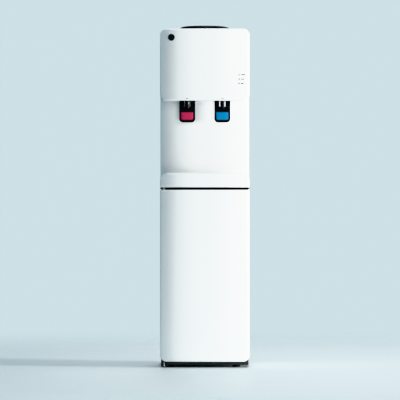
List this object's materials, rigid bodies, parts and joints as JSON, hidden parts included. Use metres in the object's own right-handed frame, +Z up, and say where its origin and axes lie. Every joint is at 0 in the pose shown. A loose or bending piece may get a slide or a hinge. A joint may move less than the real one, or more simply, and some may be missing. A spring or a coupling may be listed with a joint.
{
  "type": "water dispenser",
  "caption": "Slim floor-standing water dispenser with bowed white fronts, hot and cold push taps over a drip tray, a bottle collar on top and a cool cabinet below.",
  "frame": {"origin": "on the floor, under the middle of the bounding box", "axes": "+Z up, the front with its taps and door faces -Y, +X to the right seen from the front"},
  "size_m": [0.31, 0.35, 1.194],
  "materials": {
    "white_gloss": "gloss moulded plastic",
    "white_steel": "powder-coated sheet steel",
    "black_plastic": "satin moulded plastic",
    "crimson_plastic": "gloss plastic insert",
    "blue_plastic": "gloss plastic insert",
    "stainless": "drawn stainless steel",
    "zinc": "zinc-plated steel",
    "copper": "drawn copper tube",
    "black_metal": "black lacquered steel",
    "foam": "rigid foam",
    "rubber": "moulded rubber",
    "gasket_vinyl": "soft vinyl",
    "silicone": "translucent silicone hose",
    "liner_plastic": "vacuum-formed liner",
    "glass": "tempered glass",
    "circuit_board": "lacquered board",
    "lens": "clear light pipe",
    "red_rocker": "gloss rocker",
    "green_rocker": "gloss rocker"
  },
  "bodies": {
    "cabinet": {"base_pan": "black_metal", "feet": "black_plastic", "left_side_panel": "white_steel", "right_side_panel": "white_steel", "back_panel": "zinc", "top_cover": "white_gloss", "head_front": "white_gloss", "head_body": "white_gloss", "tap_panel": "white_gloss", "tray_front": "white_gloss", "tray_carrier": "white_gloss", "handle_channel": "black_plastic", "indicator_lenses": "lens", "indicator_board": "circuit_board", "tap_bodies": "black_plastic", "tap_bonnets": "black_plastic", "tap_nuts": "zinc", "hot_tap_spring": "zinc", "cold_tap_spring": "zinc", "cold_tank": "stainless", "cold_tank_lid": "liner_plastic", "cold_tank_foam": "foam", "evaporator_coil": "copper", "hot_tank": "stainless", "heater_band": "zinc", "tank_shelves": "zinc", "cold_tube": "silicone", "hot_tube": "silicone", "transfer_tube": "silicone", "drain_tube": "silicone", "cabinet_liner": "liner_plastic", "cabinet_insulation": "foam", "cabinet_shelf": "glass", "compressor": "black_metal", "compressor_grommets": "rubber", "relay_cover": "black_plastic", "filter_drier": "copper", "condenser_tube": "black_metal", "condenser_wires": "black_metal", "condenser_brackets": "black_metal", "switch_bezel": "black_plastic", "cable_gland": "black_plastic", "upper_hinge": "black_metal", "lower_hinge": "black_metal"},
    "door": {"door_panel": "white_gloss", "door_cap": "black_plastic", "door_liner": "liner_plastic", "door_gasket": "gasket_vinyl"},
    "hot_push_lever": {"hot_lever": "black_plastic", "hot_insert": "crimson_plastic"},
    "cold_push_lever": {"cold_lever": "black_plastic", "cold_insert": "blue_plastic"},
    "hot_valve_plunger": {"hot_plunger": "stainless"},
    "cold_valve_plunger": {"cold_plunger": "stainless"},
    "drip_tray_body": {"drip_tray": "black_plastic"},
    "drip_grille_body": {"drip_grille": "black_plastic"},
    "bottle_collar_body": {"bottle_collar": "black_plastic"},
    "hot_rocker": {"hot_switch": "red_rocker"},
    "cold_rocker": {"cold_switch": "green_rocker"},
    "drain_plug_body": {"drain_plug": "rubber"}
  },
  "joints": [
    {"name": "door_hinge", "type": "hinge", "parent": "cabinet", "child": "door", "pos_m": [-0.145, -0.14, 0.3], "axis": [0, 0, -1], "range_deg": [0, 115]},
    {"name": "hot_lever_push", "type": "hinge", "parent": "cabinet", "child": "hot_push_lever", "pos_m": [-0.0613, -0.126, 0.976], "axis": [1, 0, 0], "range_deg": [0, 12], "stiffness_Nm_per_rad": 0.6},
    {"name": "cold_lever_push", "type": "hinge", "parent": "cabinet", "child": "cold_push_lever", "pos_m": [0.0613, -0.126, 0.976], "axis": [1, 0, 0], "range_deg": [0, 12], "stiffness_Nm_per_rad": 0.6},
    {"name": "hot_plunger_lift", "type": "slide", "parent": "cabinet", "child": "hot_valve_plunger", "axis": [0, 0, 1], "range_m": [0, 0.003], "deforming": ["hot_tap_spring"]},
    {"name": "cold_plunger_lift", "type": "slide", "parent": "cabinet", "child": "cold_valve_plunger", "axis": [0, 0, 1], "range_m": [0, 0.003], "deforming": ["cold_tap_spring"]},
    {"name": "tray_lift", "type": "slide", "parent": "cabinet", "child": "drip_tray_body", "axis": [0, 0, 1], "range_m": [0, 0.06]},
    {"name": "grille_lift", "type": "slide", "parent": "drip_tray_body", "child": "drip_grille_body", "axis": [0, 0, 1], "range_m": [0, 0.04]},
    {"name": "collar_lift", "type": "slide", "parent": "cabinet", "child": "bottle_collar_body", "axis": [0, 0, 1], "range_m": [0, 0.08]},
    {"name": "hot_switch_rock", "type": "hinge", "parent": "cabinet", "child": "hot_rocker", "pos_m": [-0.117, 0.151, 1.078], "axis": [1, 0, 0], "range_deg": [-8, 8]},
    {"name": "cold_switch_rock", "type": "hinge", "parent": "cabinet", "child": "cold_rocker", "pos_m": [-0.093, 0.151, 1.078], "axis": [1, 0, 0], "range_deg": [-8, 8]},
    {"name": "drain_plug_pull", "type": "slide", "parent": "cabinet", "child": "drain_plug_body", "axis": [0, 1, 0], "range_m": [0, 0.02]}
  ],
  "couplings": [
    {"joint": "hot_plunger_lift", "follows": "hot_lever_push", "m_per_rad": 0.014},
    {"joint": "cold_plunger_lift", "follows": "cold_lever_push", "m_per_rad": 0.014}
  ]
}
